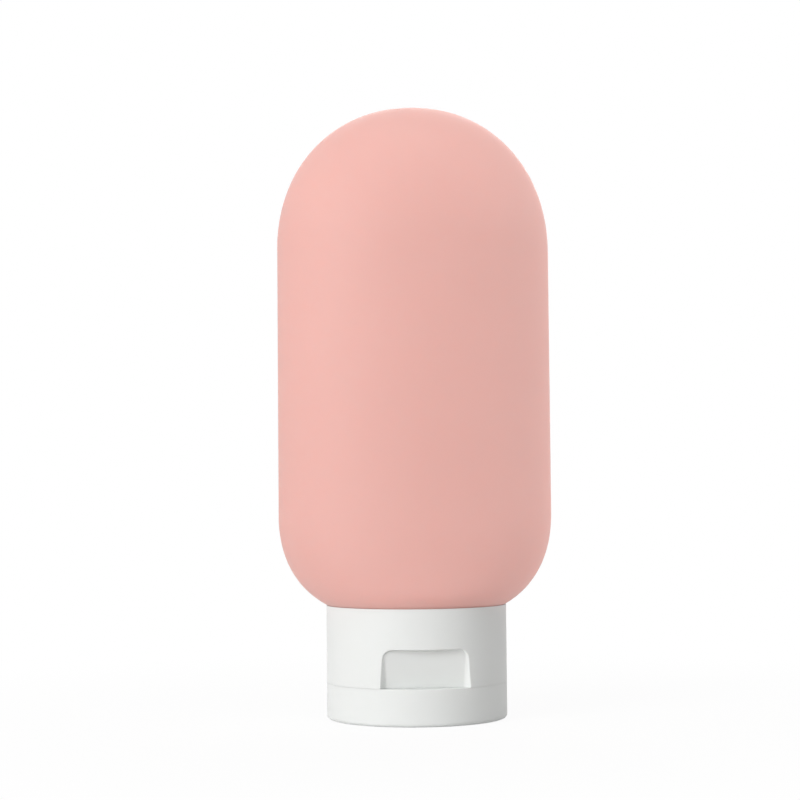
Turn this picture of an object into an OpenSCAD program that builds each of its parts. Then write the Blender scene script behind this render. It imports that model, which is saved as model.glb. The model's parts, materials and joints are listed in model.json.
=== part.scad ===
// Travel squeeze tube: a soft oval bottle that stands on its round flip-top cap.
// Origin at the centre of the lid's flat end, +Z up to the dome, -Y to the thumb recess.

/* [Squeeze body] */
// Width of the body
body_w = 50.2; // [46:0.1:58]
// Depth of the body, front to back
body_d = 34.6; // [33.6:0.1:39]
// Height of the body above the cap's rim
body_h = 91.7; // [75:0.1:120]
// Height of the dome
dome_h = 27; // [18:0.1:32]
// Fullness of the dome, where 2 is an ellipse
dome_power = 2.12; // [2:0.02:2.6]
// Radius of the shoulder, seen from the front
shoulder_r = 19.4; // [16:0.1:24]
// Fullness of the shoulder seen from the front, where 2 is a round
shoulder_power = 2.3; // [2:0.05:2.6]
// Radius of the shoulder, seen from the side
shoulder_side_r = 4.6; // [4.2:0.1:8]
// Thickness of the blown wall
body_wall = 1.2; // [0.8:0.05:1.8]

/* [Neck] */
// Diameter of the flat land round the root of the neck
root_d = 24; // [23:0.1:25.5]
// Diameter over the crests of the neck's thread
thread_d = 23.8; // [23:0.05:24.5]
// Diameter of the neck between its threads
neck_d = 21.6; // [20.6:0.05:22.4]
// Bore of the neck
neck_bore_d = 18.2; // [16:0.1:19.2]

/* [Cap collar] */
// Outer diameter of the cap
cap_d = 32.9; // [31:0.1:33.4]
// Height of the collar
collar_h = 13.9; // [12.5:0.1:17]
// Thickness of the outer skirt
skirt_wall = 1.3; // [1:0.05:1.6]
// Thickness of the inner skirt, which carries the cap's thread
thread_wall = 1.1; // [0.8:0.05:1.4]
// Thickness of the deck across the collar
deck_t = 1.2; // [0.9:0.05:1.6]
// Rounding of the collar's rim
rim_edge_r = 0.2; // [0.1:0.05:0.4]
// Gap between the collar's rim and the body's shoulder
rim_gap = 0.1; // [0.08:0.02:0.4]
// Extra room under the shoulder inside the rim
rim_fall = 0.05; // [0.02:0.01:0.3]
// Clearance between the two threads, all round
thread_gap = 0.25; // [0.15:0.05:0.4]

/* [Spout] */
// Outer diameter of the spout
spout_d = 6.6; // [5.6:0.1:8]
// Height of the spout above the deck
spout_h = 2.1; // [1.5:0.1:2.8]
// Diameter of the orifice
orifice_d = 3.8; // [3:0.1:4.4]

/* [Thumb recess] */
// Width of the recess where it meets the lid
recess_w = 16; // [12:0.1:18]
// Width of the recess at its top
recess_top_w = 15.1; // [11:0.1:17]
// Height of the recess
recess_h = 6.9; // [5:0.1:8]
// Depth of the recess where it meets the lid
recess_depth = 3.1; // [2.2:0.1:3.2]
// Depth of the recess at its top
recess_top_depth = 2; // [1.6:0.1:2.4]
// Radius of the recess's upper corners
recess_corner_r = 1.7; // [1:0.1:2.4]
// Angle by which the recess's side walls lean outward
recess_draft = 40; // [20:1:50]

/* [Flip lid] */
// Height of the lid
lid_h = 6.6; // [6:0.1:9]
// Thickness of the lid's end wall
lid_top_t = 1.3; // [1:0.05:1.8]
// Thickness of the lid's side wall
lid_wall = 1.3; // [1:0.05:1.6]
// Rounding of the lid's outer edge
lid_edge_r = 0.7; // [0.3:0.05:1]
// Gap at the parting line between the lid and the collar
part_gap = 0.08; // [0.04:0.02:0.2]
// How far the plug reaches into the orifice
plug_reach = 1.5; // [1:0.1:2]
// Clearance between the plug and the orifice, all round
plug_gap = 0.2; // [0.15:0.05:0.35]

/* [Snap ring] */
// Height of the ring on the deck that the lid snaps over
snap_h = 1.4; // [1:0.1:1.8]
// Thickness of the snap ring
snap_wall = 1; // [0.7:0.05:1.4]
// Clearance between the snap ring and the lid's bead
snap_gap = 0.15; // [0.1:0.05:0.3]
// How far the bead stands in from the lid's side wall
bead_h = 0.25; // [0.15:0.05:0.35]
// Thickness of the ledge inside the lid's front, which closes the foot of the recess
ledge_t = 1.1; // [0.8:0.1:1.6]
// How far the ledge reaches in under the deck
ledge_lap = 0.5; // [0.3:0.1:0.8]
// How far the ledge lies below the lid's rim
ledge_drop = 0.05; // [0.02:0.01:0.2]

/* [Living hinge] */
// Width of the hinge
hinge_w = 10; // [7:0.1:13]
// Distance of the fold line behind the cap's side
hinge_reach = 0.6; // [0.4:0.05:0.7]
// Thickness of the hinge's film
film_t = 0.4; // [0.3:0.05:0.6]

/* [Sealing washer] */
// Thickness of the washer
washer_t = 1; // [0.7:0.1:1.5]
// Diameter of the hole in the washer
washer_hole_d = 9; // [7:0.1:12]
// Clearance between the washer and the inner skirt, all round
washer_gap = 0.2; // [0.1:0.05:0.4]
// Gap between the washer and the mouth of the neck
mouth_gap = 0.1; // [0.05:0.05:0.2]

/* [Hidden] */
$fn = 128;
eps = 0.01;

body_pink = [0.914, 0.706, 0.675];
cap_white = [0.93, 0.94, 0.93];
washer_white = [0.86, 0.87, 0.87];

// Overshoot of what cuts through a face
over = 1;

// Points round each ring of the body, then rings along its foot, its shoulder and its dome
outer_grid = [64, 6, 9, 12];
cavity_grid = [40, 4, 5, 8];

// Levels, from the surface that the lid stands on
rim_z = lid_h + collar_h;
deck_z = lid_h + part_gap / 2;
deck_inner_z = deck_z + deck_t;
lid_rim_z = lid_h - part_gap / 2;
ledge_z = lid_rim_z - ledge_drop;
washer_z = deck_inner_z + washer_t;
mouth_z = washer_z + mouth_gap;
top_z = rim_z + body_h;
spring_z = top_z - dome_h;

// Radii of the cap
cap_r = cap_d / 2;
skirt_r = cap_r - skirt_wall;
bore_r = thread_d / 2 + thread_gap;
thread_skirt_r = bore_r + thread_wall;
lid_inner_r = cap_r - lid_wall;
snap_r = lid_inner_r - bead_h - snap_gap;
hinge_y = cap_r + hinge_reach;

// The shoulder climbs from the neck's root along two arcs, one seen from the front, one from the side
root_r = root_d / 2;
round_power = 2;
function partner(t, power) = pow(max(0, 1 - pow(max(0, min(1, t)), power)), 1 / power);
function arc_height(half, radius, power, r) = radius * partner((r - half) / radius + 1, power);
function climb(half, radius, power, r) =
    arc_height(half, radius, power, root_r) - arc_height(half, radius, power, r);
function shoulder_climb(r) = min(
    climb(body_w / 2, shoulder_r, shoulder_power, r),
    climb(body_d / 2, shoulder_side_r, round_power, r)
);
root_z = rim_z + rim_gap - shoulder_climb(cap_r - rim_edge_r);
front_arc_z = root_z + arc_height(body_w / 2, shoulder_r, shoulder_power, root_r);
side_arc_z = root_z + arc_height(body_d / 2, shoulder_side_r, round_power, root_r);

// Half sizes of a level section, drawn in by the wall's thickness for the cavity
function inset(z, arc_z, radius, power) = radius * (1 - partner((arc_z - z) / radius, power));
function half_w(z, wall) =
    body_w / 2 - wall - inset(z, front_arc_z, shoulder_r - wall, shoulder_power);
function half_d(z, wall) =
    body_d / 2 - wall - inset(z, side_arc_z, shoulder_side_r - wall, round_power);

// One ring of the body, [height, half width, half depth]
function low_ring(z, wall) = [z, half_w(z, wall), half_d(z, wall)];
function dome_ring(a, wall) = let (
    rise = pow(sin(a), 2 / dome_power),
    reach = pow(cos(a), 2 / dome_power)
) [
    spring_z + (dome_h - wall) * rise,
    half_w(spring_z, wall) * reach,
    half_d(spring_z, wall) * reach
];

// Heights spaced by equal angles along an arc that ends level with its centre
function arc_levels(from_z, arc_z, radius, power, n) =
    let (a0 = asin(pow(min(1, (arc_z - from_z) / radius), power / 2)))
    [for (i = [0 : n - 1]) arc_z - radius * pow(sin(a0 * (1 - i / n)), 2 / power)];

function body_rings(wall, grid) = let (
    base = root_z + wall,
    low = arc_levels(base, side_arc_z, shoulder_side_r - wall, round_power, grid[1]),
    high = arc_levels(side_arc_z, front_arc_z, shoulder_r - wall, shoulder_power, grid[2])
) concat(
    [for (z = concat(low, high)) low_ring(z, wall)],
    [low_ring(front_arc_z, wall)],
    [for (i = [0 : grid[3] - 1]) dome_ring(90 * i / grid[3], wall)]
);

// A closed solid through oval rings, flat at its foot and pointed at its top
module oval_loft(rings, tip_z, n) {
    points = concat(
        [for (r = rings) for (i = [0 : n - 1])
            [r[1] * cos(360 * i / n), r[2] * sin(360 * i / n), r[0]]],
        [[0, 0, tip_z]]
    );
    last = len(rings) - 1;
    tip = len(rings) * n;
    sides = [for (j = [0 : last - 1]) for (i = [0 : n - 1])
        let (a = j * n + i, b = j * n + (i + 1) % n)
        each [[a, a + n, b], [b, a + n, b + n]]];
    crown = [for (i = [0 : n - 1]) [last * n + i, tip, last * n + (i + 1) % n]];
    foot = [[for (i = [0 : n - 1]) i]];
    polyhedron(points = points, faces = concat(foot, sides, crown), convexity = 4);
}

// A turned ring from one radius to another, between two levels
module ring(r_in, r_out, z0, z1) {
    translate([0, 0, z0])
        difference() {
            cylinder(r = r_out, h = z1 - z0);
            translate([0, 0, -over]) cylinder(r = r_in, h = z1 - z0 + 2 * over);
        }
}

// Points of a quarter round from angle a0 to a1 about a centre
function quarter(x, y, r, a0, a1, n = 8) =
    [for (i = [0 : n]) let (a = a0 + (a1 - a0) * i / n) [x + r * cos(a), y + r * sin(a)]];

// The blown bottle: hollow oval body, rounded shoulder, plain neck with its bore
module squeeze_body() {
    color(body_pink)
        difference() {
            union() {
                oval_loft(body_rings(0, outer_grid), top_z, outer_grid[0]);
                translate([0, 0, mouth_z]) cylinder(d = neck_d, h = root_z - mouth_z + body_wall / 2);
            }
            oval_loft(body_rings(body_wall, cavity_grid), top_z - body_wall, cavity_grid[0]);
            translate([0, 0, mouth_z - over])
                cylinder(d = neck_bore_d, h = root_z - mouth_z + body_wall + over + eps);
        }
}

// Half section of the outer skirt and deck, whose rim falls inward with the shoulder
module collar_section() {
    slope_n = 4;
    crest_r = cap_r - rim_edge_r;
    polygon(concat(
        [[0, deck_z], [cap_r, deck_z]],
        quarter(crest_r, rim_z - rim_edge_r, rim_edge_r, 0, 90),
        [for (i = [1 : slope_n]) let (r = crest_r + (skirt_r - crest_r) * i / slope_n)
            [r, root_z + shoulder_climb(r) - rim_gap - rim_fall]],
        [[skirt_r, deck_inner_z], [0, deck_inner_z]]
    ));
}

// Solid backing between the two skirts, which the thumb recess is sunk into
module recess_backing() {
    half_angle = asin((recess_w / 2 + skirt_wall) / skirt_r);
    rotate([0, 0, -90 - half_angle])
        rotate_extrude(angle = 2 * half_angle)
            translate([thread_skirt_r - thread_wall / 2, deck_z])
                square([skirt_r - thread_skirt_r + thread_wall, recess_h + skirt_wall]);
}

// One corner of the recess's cutter, a thin disc that faces the front
module recess_disc(x, y, z) {
    translate([x, y, z]) rotate([90, 0, 0]) cylinder(r = recess_corner_r, h = eps, $fn = 32);
}

// The recess: a rounded trapezoid with leaning sides and a floor that slopes in towards the lid
module recess_cutter() {
    out_y = cap_r + over;
    below = 2 * recess_corner_r;
    spread = tan(recess_draft);
    top_floor = cap_r - recess_top_depth;
    slope = (recess_depth - recess_top_depth) / recess_h;
    foot_floor = cap_r - recess_depth - slope * below;
    widen = (recess_w - recess_top_w) / 2 / recess_h;
    // The side walls reach the cap's round side at the named widths
    top_edge = sqrt(cap_r * cap_r - pow(recess_top_w / 2, 2));
    foot_edge = sqrt(cap_r * cap_r - pow(recess_w / 2, 2));
    foot_half = recess_w / 2 + widen * below;
    hull()
        for (side = [-1, 1]) {
            high_z = lid_h + recess_h - recess_corner_r;
            low_z = lid_h - below;
            high_x = recess_top_w / 2 - recess_corner_r;
            low_x = foot_half - recess_corner_r;
            recess_disc(side * (high_x - (top_edge - top_floor) * spread), -top_floor, high_z);
            recess_disc(side * (high_x + (out_y - top_edge) * spread), -out_y, high_z);
            recess_disc(side * (low_x - (foot_edge - foot_floor) * spread), -foot_floor, low_z);
            recess_disc(side * (low_x + (out_y - foot_edge) * spread), -out_y, low_z);
        }
}

// One leaf of the living hinge: a thin plate that thins to the fold line behind the cap
module hinge_leaf() {
    root_y = cap_r - skirt_wall / 2;
    shelf = sqrt(cap_r * cap_r - pow(hinge_w / 2, 2));
    translate([-hinge_w / 2, 0, 0])
        rotate([90, 0, 90])
            linear_extrude(height = hinge_w)
                polygon([
                    [shelf - skirt_wall / 2, part_gap / 2],
                    [hinge_y - film_t / 2, part_gap / 2],
                    [hinge_y, part_gap / 2],
                    [hinge_y, film_t / 2],
                    [hinge_y - film_t / 2, film_t],
                    [root_y + skirt_wall / 2, film_t],
                    [shelf - skirt_wall / 2, 3 * film_t]
                ]);
}

// The collar: skirts, deck, spout, snap ring, thumb recess and its half of the hinge
module cap_collar() {
    color(cap_white)
        difference() {
            union() {
                rotate_extrude() collar_section();
                ring(bore_r, thread_skirt_r, deck_inner_z - eps, root_z - rim_gap);
                recess_backing();
                ring(snap_r - snap_wall, snap_r, lid_h - snap_h, deck_z + eps);
                translate([0, 0, deck_z - spout_h]) cylinder(d = spout_d, h = spout_h + eps);
                translate([0, 0, lid_h]) hinge_leaf();
            }
            translate([0, 0, deck_z - spout_h - over])
                cylinder(d = orifice_d, h = spout_h + deck_t + 2 * over);
            recess_cutter();
            ledge_sector(lid_h - snap_h - over, deck_z, snap_gap + bead_h);
        }
}

// A sector behind the foot of the recess, for the lid's ledge or, grown by a gap, its room
module ledge_sector(z0, z1, gap) {
    inner_r = cap_r - recess_depth - ledge_lap - gap;
    half_angle = asin((recess_w / 2 + ledge_lap + gap) / lid_inner_r);
    rotate([0, 0, -90 - half_angle])
        rotate_extrude(angle = 2 * half_angle)
            translate([inner_r, z0])
                square([lid_inner_r + lid_wall / 2 - inner_r, z1 - z0]);
}

// Half section of the lid with its rounded edge and the bead near its rim
module lid_section() {
    bead_z = lid_h - snap_h / 2;
    polygon(concat(
        [[0, 0]],
        quarter(cap_r - lid_edge_r, lid_edge_r, lid_edge_r, -90, 0),
        [
            [cap_r, lid_rim_z],
            [lid_inner_r, lid_rim_z],
            [lid_inner_r, bead_z + bead_h],
            [lid_inner_r - bead_h, bead_z],
            [lid_inner_r, bead_z - bead_h],
            [lid_inner_r, lid_top_t],
            [0, lid_top_t]
        ]
    ));
}

// The plug that closes the orifice: a post with a rounded lead
module orifice_plug() {
    plug_r = orifice_d / 2 - plug_gap;
    tip_z = deck_z - spout_h + plug_reach;
    rotate_extrude()
        polygon(concat(
            [[0, lid_top_t - eps], [plug_r, lid_top_t - eps]],
            quarter(plug_r / 2, tip_z - plug_r / 2, plug_r / 2, 0, 90),
            [[0, tip_z]]
        ));
}

// The lid: a shallow cup with the plug inside and its half of the hinge behind
module flip_lid() {
    color(cap_white)
        union() {
            rotate_extrude() lid_section();
            ledge_sector(ledge_z - ledge_t, ledge_z, 0);
            orifice_plug();
            translate([0, 0, lid_h]) mirror([0, 0, 1]) hinge_leaf();
        }
}

// The soft washer that the neck's mouth is screwed down on
module sealing_washer() {
    color(washer_white) ring(washer_hole_d / 2, bore_r - washer_gap, deck_inner_z, washer_z);
}

squeeze_body();
cap_collar();
flip_lid();
sealing_washer();
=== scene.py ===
"""Visual model of a travel squeeze tube that stands on its flip-top cap.

Each piece is a closed mesh, worked out in millimetres round the tube's axis and handed over in
metres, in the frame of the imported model: the blown body with its threaded neck, the collar with
the thumb recess, the lid, the film of the living hinge and the sealing washer. The thumb recess
faces -Y, the hinge +Y, and the tube stands on z = 0.
"""

from __future__ import annotations

import json
import logging
import math
from abc import ABC, abstractmethod
from collections.abc import Iterable, Sequence
from dataclasses import dataclass
from enum import Enum

import bpy
import numpy as np
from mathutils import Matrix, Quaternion, Vector

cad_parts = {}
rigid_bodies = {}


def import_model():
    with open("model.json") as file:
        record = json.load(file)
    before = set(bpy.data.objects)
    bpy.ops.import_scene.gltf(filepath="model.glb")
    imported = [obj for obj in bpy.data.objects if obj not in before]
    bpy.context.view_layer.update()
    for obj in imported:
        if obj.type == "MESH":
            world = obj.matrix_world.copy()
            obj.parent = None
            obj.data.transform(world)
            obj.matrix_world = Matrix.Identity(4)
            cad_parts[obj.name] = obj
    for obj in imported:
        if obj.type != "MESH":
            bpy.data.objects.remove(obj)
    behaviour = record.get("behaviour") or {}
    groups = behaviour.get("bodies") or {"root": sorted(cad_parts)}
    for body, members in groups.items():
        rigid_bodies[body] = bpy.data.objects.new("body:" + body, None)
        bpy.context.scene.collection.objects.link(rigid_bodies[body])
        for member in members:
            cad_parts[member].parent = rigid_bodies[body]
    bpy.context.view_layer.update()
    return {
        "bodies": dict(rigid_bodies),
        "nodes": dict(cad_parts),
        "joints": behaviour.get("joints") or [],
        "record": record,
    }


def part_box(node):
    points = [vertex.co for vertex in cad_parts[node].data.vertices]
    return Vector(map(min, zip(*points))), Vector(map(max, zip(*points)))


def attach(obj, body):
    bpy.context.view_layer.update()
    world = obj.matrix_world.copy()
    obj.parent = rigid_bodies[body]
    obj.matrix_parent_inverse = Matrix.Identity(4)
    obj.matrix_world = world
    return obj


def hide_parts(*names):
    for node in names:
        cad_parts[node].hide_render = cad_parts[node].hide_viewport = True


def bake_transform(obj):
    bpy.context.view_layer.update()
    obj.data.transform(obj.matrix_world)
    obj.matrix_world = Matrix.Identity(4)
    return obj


LOG = logging.getLogger("squeeze_tube")

# A millimetre in metres
MM = 0.001
# Spans of the arc at a rounded corner
ARC_STEPS = 5
# How far beyond a rounding, in mm, a point keeps the stretch beside it flat
HOLD = 0.06
# Gap between the collar and the closed lid, in mm
PART_GAP = 0.016
# Angle between two columns of the cap where its wall is plain
COLUMN_GAP = math.radians(2)
# Angle to either side of a step in the cap's section at which a column stands
TWIN_GAP = 0.002
# Angle between two faces of the cap from which their edge is drawn sharp, in degrees
CAP_SHARP_DEG = 50.0
# Difference below which two lengths in mm are the same
SAME = 1e-6

Triple = tuple[float, float, float]


class Carrier(Enum):
    """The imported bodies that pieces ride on."""

    BOTTLE = "bottle"
    CAP = "cap"
    LID = "lid"


class Ends(Enum):
    """How the first and last ring of a skin are closed."""

    TIPS = "each shrinks to a point"
    JOINED = "the last ring meets the first"


class Slot(Enum):
    """The record's material slots."""

    BODY = "soft_pink_body"
    CAP = "white_cap"
    WASHER = "soft_washer"


class Role(Enum):
    """What the points at a corner of a section do in a moulding of the cap."""

    PLAIN = "stay in the plane of their column"
    WALL = "follow the outer wall's face"
    UNDER = "lead from the wall's edge back to the column's plane"


def unit(v: np.ndarray) -> np.ndarray:
    """Return v at length one, or v itself if it has no length."""
    length = float(np.linalg.norm(v))
    return v / length if length > 1e-12 else v


def smooth_step(x: np.ndarray | float) -> np.ndarray | float:
    """Return an S-shaped ramp that is 0 below x = 0 and 1 above x = 1."""
    t = np.clip(x, 0.0, 1.0)
    return t * t * (3 - 2 * t)


def smooth_min(a: np.ndarray, b: np.ndarray, reach: float) -> np.ndarray:
    """Return the lower of two heights with the crease between them rounded.

    Args:
        a: The first heights.
        b: The second heights.
        reach: How far apart the two are where the rounding ends.

    Returns:
        The rounded lower heights.
    """
    h = np.maximum(reach - np.abs(a - b), 0) / reach
    return np.minimum(a, b) - h * h * reach / 4


def smooth_max(a: np.ndarray, b: np.ndarray, reach: float) -> np.ndarray:
    """Return the higher of two heights with the crease between them rounded."""
    return -smooth_min(-a, -b, reach)


def linear(colour: Triple) -> tuple[float, float, float, float]:
    """Return an sRGB colour, each part from 0 to 1, as the linear colour that a shader takes."""
    return (*((c / 12.92 if c <= 0.04045 else ((c + 0.055) / 1.055) ** 2.4) for c in colour), 1.0)


def steps(start: float, end: float, spacing: float) -> list[float]:
    """Return evenly spaced values from start to end, no further apart than spacing."""
    count = max(1, math.ceil(abs(end - start) / spacing))
    return [start + (end - start) * i / count for i in range(count + 1)]


def chained(stretches: Sequence[Triple]) -> list[float]:
    """Return the values along stretches (start, end, spacing) that follow one another."""
    values = [value for stretch in stretches for value in steps(*stretch)[:-1]]
    return [*values, stretches[-1][1]]


def mirrored(side: Sequence[float]) -> np.ndarray:
    """Return the angles of one side and of the other in order, with one column at the back."""
    both = {round(sign * a, 6) for a in side for sign in (1, -1)}
    return np.array(sorted(a for a in both if a > -math.pi + 1e-4))


@dataclass(frozen=True)
class Corner:
    """A corner of a turned section, in mm.

    r and z are its place, and setback is how far from it the rounding starts on both sides.
    levels are the heights of extra points on the straight stretch that leads away from it, and
    role is the part that its points and theirs play in the cap.
    """

    r: float
    z: float
    setback: float = 0.0
    levels: tuple[float, ...] = ()
    role: Role = Role.PLAIN


@dataclass(frozen=True)
class Section:
    """A section's points, (r, z) in mm, with the role of the corner that each belongs to."""

    points: np.ndarray
    roles: tuple[Role, ...]

    def having(self, role: Role) -> np.ndarray:
        """Return which points have a role, one truth value for each."""
        return np.array([own is role for own in self.roles])


def arc_points(start: np.ndarray, corner: np.ndarray, end: np.ndarray) -> list[np.ndarray]:
    """Round a corner with a circular arc.

    Args:
        start: Where the arc begins, on the stretch before the corner.
        corner: The sharp corner.
        end: Where the arc ends, as far from the corner as start is.

    Returns:
        The points of the arc, with both ends.
    """
    half_turn = math.sqrt((1 + float(unit(corner - start) @ unit(end - corner))) / 2)
    points = []
    for u in (i / ARC_STEPS for i in range(ARC_STEPS + 1)):
        share = ((1 - u) ** 2, 2 * u * (1 - u) * half_turn, u * u)
        points.append((share[0] * start + share[1] * corner + share[2] * end) / sum(share))
    return points


def turned_section(corners: Sequence[Corner], closed: bool) -> Section:
    """Turn the corners of a section into its points.

    Args:
        corners: The corners in order.
        closed: Whether the last corner leads back to the first.

    Returns:
        The section, with arcs at its corners and points that hold each straight stretch flat.
    """
    at = [np.array((c.r, c.z)) for c in corners]
    count = len(corners)
    arrive, leave = list(at), list(at)
    for i, corner in enumerate(corners):
        if corner.setback:
            arrive[i] = at[i] + unit(at[i - 1] - at[i]) * corner.setback
            leave[i] = at[i] + unit(at[(i + 1) % count] - at[i]) * corner.setback
    points: list[np.ndarray] = []
    roles: list[Role] = []
    for i, corner in enumerate(corners):
        points += arc_points(arrive[i], at[i], leave[i]) if corner.setback else [at[i]]
        if closed or i < count - 1:
            gap = arrive[(i + 1) % count] - leave[i]
            hold = min(HOLD / max(float(np.linalg.norm(gap)), 1e-9), 0.25)
            shares = [hold, *((z - leave[i][1]) / gap[1] for z in corner.levels), 1 - hold]
            points += [leave[i] + gap * share for share in shares]
        roles += [corner.role] * (len(points) - len(roles))
    return Section(np.array(points), tuple(roles))


def skin(name: str, rings: np.ndarray, ends: Ends, sharp_deg: float = 180.0) -> bpy.types.Object:
    """Make a closed mesh through rings of points.

    Args:
        name: The piece's name.
        rings: The points in mm, shaped (rings, points in a ring, 3).
        ends: How the first and last ring are closed.
        sharp_deg: The angle between two faces from which the edge between them is drawn sharp.

    Returns:
        The new object, smooth shaded, in metres.
    """
    count, width = rings.shape[:2]
    corner = np.arange(count * width).reshape(count, width)
    points = rings.reshape(-1, 3)
    if ends is Ends.JOINED:
        upper, lower = corner, np.roll(corner, -1, axis=0)
        fans = np.empty((0, 3), int)
    else:
        corner = np.arange(1, 1 + (count - 2) * width).reshape(count - 2, width)
        points = np.vstack([rings[0].mean(axis=0), rings[1:-1].reshape(-1, 3), rings[-1].mean(axis=0)])
        upper, lower = corner[:-1], corner[1:]
        first, last = corner[0], corner[-1]
        tip = np.full(width, len(points) - 1)
        fans = np.vstack([
            np.stack([np.zeros(width, int), np.roll(first, -1), first], axis=1),
            np.stack([tip, last, np.roll(last, -1)], axis=1),
        ])
    quads = np.stack([upper, np.roll(upper, -1, axis=1), np.roll(lower, -1, axis=1), lower], axis=-1)
    quads = quads.reshape(-1, 4)
    halves = np.vstack([quads[:, :3], quads[:, [0, 2, 3]], fans])
    a, b, c = (points[halves[:, k]] for k in range(3))
    if float(np.einsum("ij,ij->i", a, np.cross(b, c)).sum()) < 0:
        quads, fans = quads[:, ::-1], fans[:, ::-1]
    mesh = bpy.data.meshes.new(name)
    mesh.from_pydata((points * MM).tolist(), [], quads.tolist() + fans.tolist())
    mesh.shade_smooth()
    if sharp_deg < 180:
        mesh.set_sharp_from_angle(angle=math.radians(sharp_deg))
    mesh.validate()
    piece = bpy.data.objects.new(name, mesh)
    bpy.context.scene.collection.objects.link(piece)
    return piece


def polar_grid(radius: np.ndarray, angle: np.ndarray, z: np.ndarray) -> np.ndarray:
    """Place points round the tube's axis.

    Args:
        radius: Distances from the axis.
        angle: Angles from the front, growing towards +X, in radians.
        z: Heights.

    Returns:
        The points, shaped as the arguments with a last axis of 3.
    """
    return np.stack([radius * np.sin(angle), -radius * np.cos(angle), z], axis=-1)


@dataclass(frozen=True)
class Tube:
    """The sizes that pieces share, in mm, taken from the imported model."""

    cap_r: float
    lid_rim_z: float
    deck_z: float
    deck_top_z: float
    washer_top_z: float
    mouth_z: float
    rim_z: float
    top_z: float
    body_w: float
    body_d: float
    fold_y: float
    fold_z: float

    @classmethod
    def from_frame(cls, frame: dict) -> Tube:
        """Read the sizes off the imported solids.


        Returns:
            The shared sizes.
        """
        body_low, body_high = (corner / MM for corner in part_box("squeeze_body"))
        collar_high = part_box("cap_collar")[1] / MM
        washer_low, washer_high = (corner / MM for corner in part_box("sealing_washer"))
        hinge = next(j for j in frame["joints"] if j["name"] == "lid_hinge")
        fold_y, fold_z = hinge["pos_m"][1] / MM, hinge["pos_m"][2] / MM
        return cls(
            cap_r=collar_high.x,
            lid_rim_z=fold_z - PART_GAP / 2,
            deck_z=fold_z + PART_GAP / 2,
            deck_top_z=washer_low.z,
            washer_top_z=washer_high.z,
            mouth_z=body_low.z,
            rim_z=collar_high.z,
            top_z=body_high.z,
            body_w=body_high.x - body_low.x,
            body_d=body_high.y - body_low.y,
            fold_y=fold_y,
            fold_z=fold_z,
        )


@dataclass(frozen=True)
class Thread:
    """A screw thread's ridge along a right-handed helix, in mm.

    crest_share is the part of half_width that the level crest takes up.
    """

    start_z: float
    turns: float
    pitch: float
    height: float
    half_width: float
    crest_share: float = 0.3
    run_out_deg: float = 40.0

    def ridge(self, angle: np.ndarray, z: np.ndarray) -> np.ndarray:
        """Work out how far the ridge stands proud.

        Args:
            angle: Angles round the axis, anticlockwise from above, in radians.
            z: Heights, of the same shape.

        Returns:
            The ridge's height at each point, 0 away from it.
        """
        proud = np.zeros(np.broadcast(angle, z).shape)
        run_out = math.radians(self.run_out_deg)
        for turn in range(math.ceil(self.turns) + 1):
            along = np.mod(angle, 2 * math.pi) + 2 * math.pi * turn
            crest_z = self.start_z + self.pitch * along / (2 * math.pi)
            across = np.abs(z - crest_z) / self.half_width
            flank = 1 - smooth_step((across - self.crest_share) / (1 - self.crest_share))
            left = 2 * math.pi * self.turns - along
            fade = smooth_step(along / run_out) * smooth_step(left / run_out)
            proud = np.maximum(proud, self.height * flank * fade)
        return proud


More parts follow.
